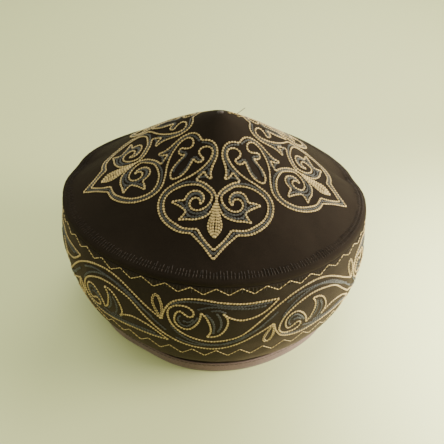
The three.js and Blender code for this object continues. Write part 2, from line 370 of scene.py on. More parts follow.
class SKULLCAP_PG_embroidery(bpy.types.PropertyGroup):
    """Chain stitch embroidery"""

    cream_color: FloatVectorProperty(
        name="Cream thread", description="Colour of the outline thread", subtype="COLOR",
        default=(0.72, 0.52, 0.21), min=0, max=1)
    navy_color: FloatVectorProperty(
        name="Dark thread", description="Colour of the dark filling thread", subtype="COLOR",
        default=(0.078, 0.076, 0.07), min=0, max=1)
    overcast_color: FloatVectorProperty(
        name="Overcast thread", description="Colour of the seam's upright stitches and of the tuft",
        subtype="COLOR", default=(0.03, 0.017, 0.011), min=0, max=1)
    stitch_pitch: FloatProperty(
        name="Stitch pitch", description="Distance from one chain stitch to the next", unit="LENGTH",
        default=STITCH_PITCH * MM, min=0.001, max=0.004)
    navy_pitch: FloatProperty(
        name="Dark stitch pitch", description="Distance between stitches of the dark rows", unit="LENGTH",
        default=NAVY_PITCH * MM, min=0.001, max=0.004)
    overcast_stitches: IntProperty(
        name="Overcast stitches", description="Upright stitches around the seam",
        default=320, min=60, max=500)


class SKULLCAP_PG_binding(bpy.types.PropertyGroup):
    """Bound rim"""

    tape_color: FloatVectorProperty(
        name="Tape", description="Colour of the rim's tape", subtype="COLOR",
        default=(0.13, 0.08, 0.066), min=0, max=1)
    thread_color: FloatVectorProperty(
        name="Sewing thread", description="Colour of the thread along the tape", subtype="COLOR",
        default=(0.03, 0.02, 0.016), min=0, max=1)


class SKULLCAP_PG_stage(bpy.types.PropertyGroup):
    """Floor, light and camera"""

    floor_color: FloatVectorProperty(
        name="Floor", description="Colour of the floor", subtype="COLOR",
        default=(0.66, 0.69, 0.34), min=0, max=1)
    elevation: FloatProperty(
        name="Camera elevation", description="How far the camera looks down", subtype="ANGLE",
        default=math.radians(40.18))
    distance: FloatProperty(
        name="Camera distance", description="From the camera to the point it looks at", unit="LENGTH",
        default=0.3918)
    lens: FloatProperty(
        name="Lens", description="Focal length on a 36 mm sensor, in millimetres", default=44.32)
    roll: FloatProperty(
        name="Camera roll", description="Turn of the camera about its view", subtype="ANGLE",
        default=math.radians(1.56))
    aim: FloatVectorProperty(
        name="Aim", description="Point that the camera looks at", subtype="XYZ", unit="LENGTH",
        default=(0.01087, 0, 0.0515))
    shift: FloatVectorProperty(
        name="Shift", description="Camera shift sideways and upwards, as shares of the picture", size=2,
        default=(-0.0218, 0.0152))


def follow(table, reach):
    """Smooth curve through a table of reach and height."""
    last = len(table) - 2
    i = 0
    while i < last and reach > table[i + 1][0]:
        i += 1

    def slope(k):
        a = table[max(k - 1, 0)]
        b = table[min(k + 1, len(table) - 1)]
        return (b[1] - a[1]) / (b[0] - a[0])

    width = table[i + 1][0] - table[i][0]
    u = (reach - table[i][0]) / width
    rise = table[i + 1][1] - table[i][1]
    start = slope(i) * width
    end = slope(i + 1) * width
    return table[i][1] + u * (start + u * (3 * rise - 2 * start - end + u * (start + end - 2 * rise)))


def turn_from(azimuth, middle):
    """Angle from one azimuth to another in degrees, between -180 and 180."""
    turn = math.degrees(azimuth) - middle
    return turn - 360 * round(turn / 360)


def bell(value, spread):
    """Soft bump of height one, fading over the spread."""
    return math.exp(-((value / spread) ** 2))


def sag(azimuth):
    """How far the seam sags, in millimetres."""
    return CROWN_RISE * sum(depth * bell(turn_from(azimuth, at), spread) for at, spread, depth in SEAM_SAGS)


def lean(radius, azimuth):
    """Rise of the seam's tilted plane, which is highest at the front left."""
    return radius * (LEAN_FRONT * math.cos(azimuth) - LEAN_LEFT * math.sin(azimuth))


def seam_height(azimuth):
    """Height of the seam, in millimetres."""
    return SEAM_HEIGHT + lean(SEAM_RADIUS, azimuth) - sag(azimuth)


def pinch(azimuth):
    """How far the seam is pinched in at the side folds, in millimetres."""
    return sum(PINCH_DEPTH * bell(turn_from(azimuth, at), width) for _, at, width in FOLDS)


def band_radius(share, azimuth):
    """Radius of the band's outer face at a share of the seam's height."""
    barrel = BAND_BULGE * 4 * share * (1 - share) * (1 + BULGE_LEAN * (2 * share - 1))
    welt = SEAM_WELT * bell((1 - share) * SEAM_HEIGHT, WELT_HALF_WIDTH)
    hem = HEM_TUCK * bell(share * SEAM_HEIGHT - HEM_HEIGHT, HEM_SPREAD)
    dents = sum(depth * BAND_BULGE * bell(turn_from(azimuth, at), spread) for at, spread, depth in RIM_DENTS)
    flutes = 0
    for at, spread, pitch, depth, press in FLUTES:
        turn = turn_from(azimuth, at)
        flute = depth * math.cos(2 * math.pi * turn / pitch) * math.sin(math.pi * share) ** 2
        flutes += (flute - press * math.sin(math.pi * share ** 2) ** 2) * bell(turn, spread)
    straight = RIM_RADIUS + (SEAM_RADIUS - RIM_RADIUS) * share
    pressed = hem + pinch(azimuth) * share ** 3 + dents * (1 - share) ** 2
    return straight + barrel + welt - pressed + flutes


def plan_point(radius, azimuth, height, shift):
    """Point at a radius and a height, in metres."""
    x = radius * math.sin(azimuth) + shift
    y = -radius * PLAN_DEPTH_RATIO * math.cos(azimuth)
    return Vector((x, y, height)) * MM


def band_point(height, azimuth, outset=0):
    """Point on the band's outer face, or a little outside it."""
    return plan_point(band_radius(height / seam_height(azimuth), azimuth) + outset, azimuth, height, 0)


def crown_edge(azimuth):
    """Radius of the crown's edge, in millimetres."""
    return SEAM_RADIUS + SEAM_WELT - pinch(azimuth)


def crown_point(reach, azimuth):
    """Point on the crown's upper face; the reach is 0 at the peak and 1 at the seam."""
    radius = crown_edge(azimuth) * reach
    folds = 0
    for at, _, _ in FOLDS:
        across = math.radians(abs(turn_from(azimuth, at))) * radius
        folds += FOLD_RISE * follow(FOLD_PROFILE, reach) * math.exp(-across / FOLD_WIDTH)
    back = sum(height * bell(turn_from(azimuth, at), spread) for at, spread, height in BACK_SWELLS)
    swell = (SWELL * math.sin(3 * azimuth + 1) + back) * math.sin(math.pi * reach) ** 2
    soft = folds + swell - sag(azimuth) * reach ** 2
    cone = SEAM_HEIGHT + CROWN_RISE * follow(CROWN_PROFILE, reach) + lean(radius, azimuth)
    return plan_point(radius, azimuth, cone + soft, PEAK_OFFSET * (1 - reach))


def normal_at(surface, first, azimuth, step):
    """Outward normal of a surface of one parameter and the azimuth."""
    along = surface(first + step, azimuth) - surface(first - step, azimuth)
    around = surface(first, azimuth + AZIMUTH_STEP) - surface(first, azimuth - AZIMUTH_STEP)
    normal = along.cross(around).normalized()
    middle = surface(first, azimuth)
    outwards = Vector((middle.x, middle.y, max(middle.z - SEAM_HEIGHT * MM / 2, 0)))
    return normal if normal.dot(outwards) > 0 else -normal


def crown_seat(reach, azimuth):
    """Place and normal on the crown."""
    return crown_point(reach, azimuth), normal_at(crown_point, reach, azimuth, REACH_STEP)


def band_seat(height, azimuth, outset=0):
    """Place and normal on the band, or a little outside it."""
    return band_point(height, azimuth, outset), normal_at(band_point, height, azimuth, HEIGHT_STEP)


def crown_pattern(radius, turn):
    """Place and normal on the crown of a point of its pattern."""
    azimuth = math.radians(turn + PALMETTE_TURN)
    fade = max(0, 1 - radius / PATTERN_FADE)
    x = radius * math.sin(azimuth) + PATTERN_SHIFT[0] * fade
    y = -radius * math.cos(azimuth) + PATTERN_SHIFT[1] * fade
    reach = min(math.hypot(x, y) / (SEAM_RADIUS + SEAM_WELT), 0.99)
    return crown_seat(reach, math.atan2(x, -y))


def band_pattern(turn, share):
    """Place and normal on the band of a point of its pattern."""
    azimuth = math.radians(turn)
    return band_seat(share * seam_height(azimuth), azimuth)


def smooth_line(points, steps=8):
    """Points of a Catmull-Rom curve through a few chosen points."""
    ends = [tuple(2 * a - b for a, b in zip(points[0], points[1]))]
    ends += list(points)
    ends.append(tuple(2 * a - b for a, b in zip(points[-1], points[-2])))
    curve = []
    for k in range(1, len(ends) - 2):
        p0, p1, p2, p3 = ends[k - 1:k + 3]
        for step in range(steps):
            t = step / steps
            curve.append(tuple(
                0.5 * (2 * b + t * (c - a + t * (2 * a - 5 * b + 4 * c - d + t * (3 * b - a - 3 * c + d))))
                for a, b, c, d in zip(p0, p1, p2, p3)))
    curve.append(tuple(points[-1]))
    return curve


def sew(line, place, pitch):
    """Evenly spaced stitches along a line: middle, direction, normal and length of each."""
    path = [place(*point) for point in line]
    lengths = [(b[0] - a[0]).length for a, b in zip(path, path[1:])]
    total = sum(lengths)
    count = max(1, round(total / pitch))
    marks = []
    run = 0
    for (a, b), length in zip(zip(path, path[1:]), lengths):
        while len(marks) <= count and run + length >= len(marks) * total / count - 1e-9:
            share = (len(marks) * total / count - run) / max(length, 1e-9)
            marks.append((a[0].lerp(b[0], share), a[1].lerp(b[1], share).normalized()))
        run += length
    stitches = []
    for (a, up), (b, _) in zip(marks, marks[1:]):
        along = b - a
        if along.length > 1e-6:
            stitches.append(((a + b) / 2, along.normalized(), up, along.length))
    return stitches


def azimuth_of(point):
    """Azimuth of a point, counted from the front to the right."""
    return math.atan2(point.x, -point.y)


def shaped_mesh(name, bm):
    """Mesh of a finished shape, its faces turned outwards."""
    mesh = bpy.data.meshes.new(name)
    bmesh.ops.recalc_face_normals(bm, faces=bm.faces)
    bm.to_mesh(mesh)
    bm.free()
    return mesh


def new_object(name, mesh, material):
    """Object of a finished mesh, riding on the cap."""
    mesh.polygons.foreach_set("use_smooth", [True] * len(mesh.polygons))
    mesh.materials.append(material)
    piece = bpy.data.objects.new(name, mesh)
    bpy.context.scene.collection.objects.link(piece)
    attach(piece, "root")
    return piece


def spun_shell(outline, sectors):
    """Shell spun about the vertical axis from a few points of reach and row."""
    bm = bmesh.new()
    verts = [bm.verts.new((reach, 0, row)) for reach, row in outline]
    edges = [bm.edges.new(pair) for pair in zip(verts, verts[1:])]
    bmesh.ops.spin(
        bm, geom=verts + edges, cent=(0, 0, 0), axis=(0, 0, 1), angle=2 * math.pi, steps=sectors,
        use_merge=True)
    bmesh.ops.remove_doubles(bm, verts=bm.verts, dist=MERGE_DISTANCE)
    return bm


def nap(point, normal, height):
    """Uneven lie of the pile."""
    soft = noise.noise(point * 90) + 0.5 * noise.noise(point * 260)
    return point + normal * (soft * height)


def velvet_wall(name, bm, thickness, material, nap_height):
    """Napped cloth wall, thickened inwards."""
    bmesh.ops.recalc_face_normals(bm, faces=bm.faces)
    bm.normal_update()
    for vert in bm.verts:
        vert.co = nap(vert.co, vert.normal, nap_height)
    piece = new_object(name, shaped_mesh(name, bm), material)
    wall = piece.modifiers.new("Wall", "SOLIDIFY")
    wall.thickness = thickness * MM
    wall.offset = -1
    return piece


def sew_piece(name, place, pitch, width, color, lines, closed=True):
    """One joined piece of chain stitch, or of plain bars, along many lines."""
    template = stitch_template(pitch, width * MM, THREAD_RADIUS * MM, closed)
    stitches = [stitch for line in lines for stitch in sew(line, place, pitch)]
    mesh = stitched_mesh(name, template, stitches, pitch)
    tone = "Navy thread" if name.endswith("navy") else "Cream thread"
    new_object(name, mesh, thread_material(tone, color, EMBROIDERY_FINISH))


def add_node(tree, kind, at, inputs=None, **settings):
    """Node with its settings and the values of its own inputs."""
    node = tree.nodes.new(kind)
    node.location = at
    for name, value in settings.items():
        setattr(node, name, value)
    for name, value in (inputs or {}).items():
        node.inputs[name].default_value = value
    return node


def join(tree, links):
    """Link nodes, each from an output to another's input."""
    for source, output, target, name in links:
        tree.links.new(source.outputs[output], target.inputs[name])


def new_group(name, inputs, outputs):
    """Node group with named sockets; returns it with its input and output nodes."""
    group = bpy.data.node_groups.new(name, "ShaderNodeTree")
    for label, kind, default in inputs:
        socket = group.interface.new_socket(label, in_out="INPUT", socket_type=kind)
        socket.default_value = default
    for label, kind in outputs:
        group.interface.new_socket(label, in_out="OUTPUT", socket_type=kind)
    start = add_node(group, "NodeGroupInput", (-900, 0))
    end = add_node(group, "NodeGroupOutput", (700, 0))
    return group, start, end


def pile_group():
    """Velvet pile: patches lying lighter or darker, and a fine uneven surface."""
    if "Velvet pile" in bpy.data.node_groups:
        return bpy.data.node_groups["Velvet pile"]
    group, start, end = new_group(
        "Velvet pile",
        [("Colour", "NodeSocketColor", (0.02, 0.015, 0.01, 1)),
         ("Brushed colour", "NodeSocketColor", (0.05, 0.04, 0.02, 1)),
         ("Patch scale", "NodeSocketFloat", 22),
         ("Pile scale", "NodeSocketFloat", 2600),
         ("Brushed share", "NodeSocketFloat", 0.5)],
        [("Colour", "NodeSocketColor"), ("Roughness", "NodeSocketFloat"), ("Height", "NodeSocketFloat")])
    place = add_node(group, "ShaderNodeTexCoord", (-900, -300))
    patches = add_node(group, "ShaderNodeTexNoise", (-650, 100), {"Detail": 5, "Roughness": 0.6})
    pile = add_node(group, "ShaderNodeTexNoise", (-650, -300), {"Detail": 2})
    spread = add_node(group, "ShaderNodeMapRange", (-400, 100), {"From Min": 0.38, "From Max": 0.72})
    share = add_node(group, "ShaderNodeMath", (-200, 100), operation="MULTIPLY")
    speckle = add_node(group, "ShaderNodeMapRange", (-400, -150), {
        "From Min": 0.3, "From Max": 0.7, "To Min": 0.72, "To Max": 1.25})
    brushed = add_node(group, "ShaderNodeMix", (0, 100), data_type="RGBA")
    shaded = add_node(
        group, "ShaderNodeMix", (250, 50), {"Factor": 1}, data_type="RGBA", blend_type="MULTIPLY")
    roughness = add_node(group, "ShaderNodeMapRange", (250, -200), {"To Min": 0.82, "To Max": 0.98})
    join(group, [
        (place, "Object", patches, "Vector"),
        (start, "Patch scale", patches, "Scale"),
        (place, "Object", pile, "Vector"),
        (start, "Pile scale", pile, "Scale"),
        (patches, "Fac", spread, "Value"),
        (spread, "Result", share, 0),
        (start, "Brushed share", share, 1),
        (pile, "Fac", speckle, "Value"),
        (share, "Value", brushed, "Factor"),
        (start, "Colour", brushed, "A"),
        (start, "Brushed colour", brushed, "B"),
        (brushed, "Result", shaded, "A"),
        (speckle, "Result", shaded, "B"),
        (pile, "Fac", roughness, "Value"),
        (shaded, "Result", end, "Colour"),
        (roughness, "Result", end, "Roughness"),
        (pile, "Fac", end, "Height"),
    ])
    return group


def thread_group():
    """Spun thread: each stitch a little lighter or darker, with fine fibres, and painted shade darkening the
    ends of each stitch.
    """
    if "Spun thread" in bpy.data.node_groups:
        return bpy.data.node_groups["Spun thread"]
    group, start, end = new_group(
        "Spun thread",
        [("Colour", "NodeSocketColor", (0.6, 0.5, 0.3, 1)), ("Stitch scale", "NodeSocketFloat", 450),
         ("Worn share", "NodeSocketFloat", 0.35), ("Crease share", "NodeSocketFloat", 0.8)],
        [("Colour", "NodeSocketColor"), ("Height", "NodeSocketFloat")])
    place = add_node(group, "ShaderNodeTexCoord", (-900, -300))
    stitch = add_node(group, "ShaderNodeTexNoise", (-650, 100))
    fibre = add_node(group, "ShaderNodeTexNoise", (-650, -300), {"Scale": 6000})
    shade = add_node(group, "ShaderNodeMapRange", (-400, 100), {"From Min": 0.35, "From Max": 0.65})
    less = add_node(group, "ShaderNodeMath", (-400, -100), {0: 1}, operation="SUBTRACT")
    shaded = add_node(
        group, "ShaderNodeMix", (0, 50), {"Factor": 1}, data_type="RGBA", blend_type="MULTIPLY")
    # Painted shade: towards both ends of each stitch the colour is mixed with a near black, standing in for
    # the shadow where the stitch sinks into the pile
    chart = add_node(group, "ShaderNodeUVMap", (-900, -600), uv_map="stitch")
    split = add_node(group, "ShaderNodeSeparateXYZ", (-700, -600))
    offset = add_node(group, "ShaderNodeMath", (-500, -600), {1: 0.5}, operation="SUBTRACT")
    distance = add_node(group, "ShaderNodeMath", (-300, -600), operation="ABSOLUTE")
    painted_end_shade = add_node(group, "ShaderNodeMapRange", (-100, -600), {"From Min": 0.22, "From Max": 0.46})
    depth = add_node(group, "ShaderNodeMath", (100, -600), operation="MULTIPLY")
    painted_end_shaded = add_node(
        group, "ShaderNodeMix", (300, 50), {"B": (0.012, 0.009, 0.006, 1)}, data_type="RGBA")
    join(group, [
        (chart, "UV", split, "Vector"),
        (split, "X", offset, 0),
        (offset, "Value", distance, 0),
        (distance, "Value", painted_end_shade, "Value"),
        (painted_end_shade, "Result", depth, 0),
        (start, "Crease share", depth, 1),
        (depth, "Value", painted_end_shaded, "Factor"),
        (shaded, "Result", painted_end_shaded, "A"),
        (place, "Object", stitch, "Vector"),
        (start, "Stitch scale", stitch, "Scale"),
        (place, "Object", fibre, "Vector"),
        (stitch, "Fac", shade, "Value"),
        (start, "Worn share", less, 1),
        (less, "Value", shade, "To Min"),
        (start, "Colour", shaded, "A"),
        (shade, "Result", shaded, "B"),
        (painted_end_shaded, "Result", end, "Colour"),
        (fibre, "Fac", end, "Height"),
    ])
    return group


def new_material(name, values):
    """Material with a Principled shader of some values, and its output."""
    material = bpy.data.materials.new(name)
    material.use_nodes = True
    tree = material.node_tree
    tree.nodes.clear()
    shader = add_node(tree, "ShaderNodeBsdfPrincipled", (300, 0), values)
    output = add_node(tree, "ShaderNodeOutputMaterial", (600, 0))
    join(tree, [(shader, "BSDF", output, "Surface")])
    return material, tree, shader


def bump_from(tree, node, output, shader, distance, strength):
    """Bump of the surface by a node's height."""
    bump = add_node(tree, "ShaderNodeBump", (50, -300), {"Distance": distance, "Strength": strength})
    join(tree, [(node, output, bump, "Height"), (bump, "Normal", shader, "Normal")])


def velvet_material(name, color, look, finish):
    """Velvet of one colour, dull from above and lighter where its pile is brushed."""
    brushed_share, sheen = finish
    material, tree, shader = new_material(name, {
        "Specular IOR Level": 0.06, "Sheen Weight": sheen, "Sheen Roughness": 0.42,
        "Sheen Tint": (*look.pile_tint, 1)})
    pile = add_node(tree, "ShaderNodeGroup", (-300, 0), {
        "Colour": (*color, 1), "Brushed colour": (*look.brushed_color, 1),
        "Brushed share": brushed_share}, node_tree=pile_group())
    join(tree, [(pile, "Colour", shader, "Base Color"), (pile, "Roughness", shader, "Roughness")])
    bump_from(tree, pile, "Height", shader, 0.0002, 0.6)
    return material


def thread_material(name, color, finish):
    """Spun thread of one colour, made once for all the pieces sewn with it."""
    if name in bpy.data.materials:
        return bpy.data.materials[name]
    roughness, sheen, worn, painted_end_shade = finish
    material, tree, shader = new_material(name, {
        "Roughness": roughness, "Specular IOR Level": 0.4, "Sheen Weight": sheen})
    # The finish's last value is how much painted shade darkens the ends of each stitch
    thread = add_node(tree, "ShaderNodeGroup", (-300, 0), {
        "Colour": (*color, 1), "Worn share": worn, "Crease share": painted_end_shade}, node_tree=thread_group())
    join(tree, [(thread, "Colour", shader, "Base Color")])
    bump_from(tree, thread, "Height", shader, 0.00004, 0.5)
    return material


def tape_material(name, color):
    """Smooth woven tape, with a fine crosswise rib."""
    material, tree, shader = new_material(name, {
        "Roughness": 0.62, "Specular IOR Level": 0.35, "Sheen Weight": 0.15})
    patch_color = [value * TAPE_PATCH_GAIN for value in color]
    pile = add_node(tree, "ShaderNodeGroup", (-300, 0), {
        "Colour": (*color, 1), "Brushed colour": (*patch_color, 1),
        "Patch scale": 40, "Pile scale": 1800, "Brushed share": 0.8}, node_tree=pile_group())
    weave = add_node(tree, "ShaderNodeUVMap", (-600, -400), uv_map="tape")
    ribs = add_node(
        tree, "ShaderNodeTexWave", (-350, -400), {"Scale": 160, "Distortion": 0.6},
        wave_type="BANDS", bands_direction="X")
    join(tree, [(weave, "UV", ribs, "Vector"), (pile, "Colour", shader, "Base Color")])
    bump_from(tree, ribs, "Fac", shader, 0.00012, 0.4)
    return material


def thread_tube(bm, path, radius, closed):
    """Thin round thread along a few points, closed at its ends or joined in a ring."""
    loops = []
    for k, point in enumerate(path):
        after = path[(k + 1) % len(path)] if closed or k < len(path) - 1 else point
        before = path[k - 1] if closed or k else point
        circle = bmesh.ops.create_circle(bm, cap_ends=False, radius=radius, segments=THREAD_SIDES)["verts"]
        turn = (after - before).to_track_quat("Z", "X").to_matrix().to_4x4()
        bmesh.ops.transform(bm, matrix=Matrix.Translation(point) @ turn, verts=circle)
        loops.append(list(dict.fromkeys(edge for vert in circle for edge in vert.link_edges)))
    for first, second in zip(loops, loops[1:]):
        bmesh.ops.bridge_loops(bm, edges=first + second)
    if closed:
        bmesh.ops.bridge_loops(bm, edges=loops[-1] + loops[0])
    else:
        bmesh.ops.edgeloop_fill(bm, edges=loops[0])
        bmesh.ops.edgeloop_fill(bm, edges=loops[-1])


def stitch_template(pitch, width, radius, closed):
    """One stitch along X: a chain link of two strands, or a plain bar, its ends sunk in the pile."""
    half = width / 2 - radius if closed else 0
    path = BAR
    if closed:
        path = LINK_SIDE + [(x + LINK_RETURN, -side, rise) for x, side, rise in reversed(LINK_SIDE)]
    points = [
        Vector((x * pitch, (side + STITCH_TWIST * x) * half, rise * radius)) for x, side, rise in path]
    bm = bmesh.new()
    thread_tube(bm, points, radius, closed)
    bmesh.ops.recalc_face_normals(bm, faces=bm.faces)
    chart = bm.loops.layers.uv.new("stitch")
    for face in bm.faces:
        for loop in face.loops:
            loop[chart].uv = (loop.vert.co.x / pitch + 0.5, loop.vert.co.y / width + 0.5)
    mesh = bpy.data.meshes.new("stitch template")
    bm.to_mesh(mesh)
    bm.free()
    return mesh


def stitched_mesh(name, template, stitches, pitch):
    """One mesh of many copies of a stitch, each turned along its line and seated on the cloth."""
    points = []
    faces = []
    for middle, along, up, length in stitches:
        uneven = noise.noise_vector(middle * UNEVEN_SCALE)
        along = (along + up.cross(along) * (UNEVEN_TURN * uneven.x)).normalized()
        side = up.cross(along).normalized() * (1 + UNEVEN_WIDTH * uneven.y)
        up = along.cross(side).normalized() * (1 + UNEVEN_HEIGHT * uneven.z)
        seat = Matrix((along * (length / pitch), side, up)).transposed().to_4x4()
        seat.translation = middle
        first = len(points)
        points += [seat @ vert.co for vert in template.vertices]
        faces += [[first + corner for corner in face.vertices] for face in template.polygons]
    mesh = bpy.data.meshes.new(name)
    mesh.from_pydata(points, [], faces)
    corners = [tuple(corner.uv) for corner in template.uv_layers["stitch"].data]
    chart = mesh.uv_layers.new(name="stitch")
    chart.data.foreach_set("uv", [value for corner in corners for value in corner] * len(stitches))
    bpy.data.meshes.remove(template)
    return mesh


def mirrored_palmettes(lines):
    """A half palmette's lines, repeated around the crown on both sides of each palmette's middle."""
    for palmette in range(PALMETTES):
        middle = 360 / PALMETTES * palmette
        for side in (-1, 1):
            for line in lines:
                yield smooth_line([(radius, middle + side * turn) for radius, turn in line])


def swung_units(lines):
    """A frieze unit's lines, repeated around the band, every other one upside down."""
    for unit in range(FRIEZE_UNITS):
        middle = FRIEZE_START + 360 / FRIEZE_UNITS * unit
        for line in lines:
            if unit % 2:
                line = [(turn, 2 * FRIEZE_MIDDLE - share) for turn, share in line]
            yield smooth_line([(middle + turn, share) for turn, share in line])


def zigzag_lines():
    """Lines between the points of each zigzag row, with steps that keep them on the cloth."""
    for points, top_at, low, high in ZIGZAGS:
        half = 180 / points
        for k in range(2 * points):
            first, last = (low, high) if k % 2 else (high, low)
            yield smooth_line([(top_at + half * k, first), (top_at + half * (k + 1), last)], ZIGZAG_STEPS)


class SKULLCAP_OT_crown(bpy.types.Operator):
    """Make the crown's velvet"""

    bl_idname = "skullcap.crown"
    bl_label = "Crown velvet"

    def execute(self, context):
        look = context.scene.skullcap_velvet
        outline = [(ring / look.crown_rings, 0) for ring in range(look.crown_rings + 1)]
        outline += [(1, row) for row in LIP_ROWS]
        bm = spun_shell(outline, look.sectors)
        edge = []
        for vert in bm.verts:
            reach = min(math.hypot(vert.co.x, vert.co.y), 1)
            azimuth = azimuth_of(vert.co) if reach > MERGE_DISTANCE else 0
            drop = vert.co.z
            if reach > EDGE_REACH:
                edge.append(vert)
            if drop > 0:
                height = seam_height(azimuth) - LIP_HEIGHT * drop
                bulge = LIP_BULGE * math.sin(math.pi * min(drop, LIP_BULGE_END))
                vert.co = plan_point(crown_edge(azimuth) + bulge, azimuth, height, 0)
            else:
                vert.co = crown_point(reach, azimuth)
        for _ in range(EDGE_PASSES):
            bmesh.ops.smooth_vert(
                bm, verts=edge, factor=0.5, use_axis_x=True, use_axis_y=True, use_axis_z=True)
        material = velvet_material("Crown velvet", look.crown_color, look, CROWN_VELVET)
        piece = velvet_wall("crown_velvet", bm, CROWN_WALL, material, look.nap_height)
        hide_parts("crown")
        return {"FINISHED"}


class SKULLCAP_OT_band(bpy.types.Operator):
    """Make the side band's velvet"""

    bl_idname = "skullcap.band"
    bl_label = "Band velvet"

    def execute(self, context):
        look = context.scene.skullcap_velvet
        bm = spun_shell([(1, ring / look.band_rings) for ring in range(look.band_rings + 1)], look.sectors)
        foot = TAPE_THICKNESS + CLEARANCE
        for vert in bm.verts:
            azimuth = azimuth_of(vert.co)
            top = seam_height(azimuth) - LIP_HEIGHT - CLEARANCE
            vert.co = band_point(foot + (top - foot) * vert.co.z, azimuth)
        material = velvet_material("Band velvet", look.band_color, look, BAND_VELVET)
        piece = velvet_wall("band_velvet", bm, BAND_WALL, material, look.nap_height)
        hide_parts("side_band")
        return {"FINISHED"}


class SKULLCAP_OT_binding(bpy.types.Operator):
    """Make the rim's tape and the sewing along it"""

    bl_idname = "skullcap.binding"
    bl_label = "Bound rim"

    def execute(self, context):
        look = context.scene.skullcap_binding
        rows = len(TAPE_SECTION)
        bm = spun_shell([(1, row) for row in range(rows)], context.scene.skullcap_velvet.sectors)
        weave = bm.loops.layers.uv.new("tape")
        for face in bm.faces:
            at = azimuth_of(face.calc_center_median())
            for loop in face.loops:
                turn = azimuth_of(loop.vert.co)
                turn -= 2 * math.pi * round((turn - at) / (2 * math.pi))
                loop[weave].uv = (turn, loop.vert.co.z / rows)
        for vert in bm.verts:
            height, inset = TAPE_SECTION[round(vert.co.z)]
            vert.co = band_point(height, azimuth_of(vert.co), -inset)
        bmesh.ops.remove_doubles(bm, verts=bm.verts, dist=MERGE_DISTANCE)
        mesh = shaped_mesh("rim_tape", bm)
        tape = new_object("rim_tape", mesh, tape_material("Rim tape", look.tape_color))
        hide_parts("edge_binding")

        def seat(turn, height):
            return band_seat(height, math.radians(turn), TAPE_FAR)

        pitch = RIM_PITCH * MM
        template = stitch_template(pitch, RIM_WIDTH * MM, RIM_THREAD_RADIUS * MM, closed=False)
        ring = [(turn, BINDING_LEG - RIM_DROP) for turn in range(0, 361, 3)]
        mesh = stitched_mesh("rim_sewing", template, sew(ring, seat, pitch), pitch)
        new_object("rim_sewing", mesh, thread_material(
            "Sewing thread", look.thread_color, SEWING_FINISH))
        return {"FINISHED"}


class SKULLCAP_OT_seam(bpy.types.Operator):
    """Make the upright overcast stitches around the seam"""

    bl_idname = "skullcap.seam"
    bl_label = "Overcast seam"

    def execute(self, context):
        look = context.scene.skullcap_embroidery
        pitch = OVERCAST_PITCH * MM
        template = stitch_template(pitch, OVERCAST_WIDTH * MM, OVERCAST_RADIUS * MM, closed=False)
        start, bend, lip = OVERCAST_REACHES
        stitches = []
        for k in range(look.overcast_stitches):
            azimuth = 2 * math.pi * k / look.overcast_stitches
            uneven = noise.noise_vector(Vector((k * 0.9, k * 0.37, 0.5)))
            seats = []
            for reach in (start + OVERCAST_UNEVEN_START * uneven.x, bend, lip):
                seats.append(crown_seat(reach, azimuth + OVERCAST_SWING * uneven.y * (1 - reach)))
            foot = OVERCAST_FOOT + OVERCAST_UNEVEN_FOOT * uneven.z
            for drop in (LIP_HEIGHT + OVERCAST_UNDER, LIP_HEIGHT + foot):
                slant = OVERCAST_SLANT * uneven.x * drop / LIP_HEIGHT
                seats.append(band_seat(seam_height(azimuth) - drop, azimuth + slant))
            for (a, up), (b, _) in (seats[:2], seats[1:3], seats[3:]):
                stitches.append(((a + b) / 2, (b - a).normalized(), up, (b - a).length))
        mesh = stitched_mesh("seam_overcast", template, stitches, pitch)
        new_object("seam_overcast", mesh, thread_material(
            "Overcast thread", look.overcast_color, OVERCAST_FINISH))
        return {"FINISHED"}


class SKULLCAP_OT_crown_embroidery(bpy.types.Operator):
    """Sew the five palmettes and the hearts between them"""

    bl_idname = "skullcap.crown_embroidery"
    bl_label = "Crown embroidery"

    def execute(self, context):
        look = context.scene.skullcap_embroidery
        bud_rows = [[(radius, turn * share) for radius, turn in BUD_LINE] for share in BUD_ROWS]
        sew_piece("crown_cream", crown_pattern, look.stitch_pitch, STITCH_WIDTH, look.cream_color,
                  mirrored_palmettes(CROWN_OUTER_LINES + CROWN_INNER_LINES + bud_rows))
        sew_piece("crown_navy", crown_pattern, look.navy_pitch, NAVY_WIDTH, look.navy_color,
                  mirrored_palmettes(CROWN_NAVY_LINES))
        return {"FINISHED"}


class SKULLCAP_OT_band_embroidery(bpy.types.Operator):
    """Sew the scroll frieze and the two zigzags"""

    bl_idname = "skullcap.band_embroidery"
    bl_label = "Band embroidery"

    def execute(self, context):
        look = context.scene.skullcap_embroidery
        sew_piece("band_cream", band_pattern, look.stitch_pitch, STITCH_WIDTH, look.cream_color,
                  swung_units(FRIEZE_LINES))
        sew_piece("band_loops", band_pattern, look.stitch_pitch, LOOP_WIDTH, look.cream_color,
                  swung_units([FRIEZE_LOOP]))
        sew_piece("band_zigzags", band_pattern, ZIGZAG_PITCH * MM, ZIGZAG_WIDTH,
                  look.cream_color, zigzag_lines(), closed=False)
        sew_piece("band_navy", band_pattern, look.navy_pitch, NAVY_WIDTH, look.navy_color,
                  swung_units(FRIEZE_NAVY_LINES))
        return {"FINISHED"}


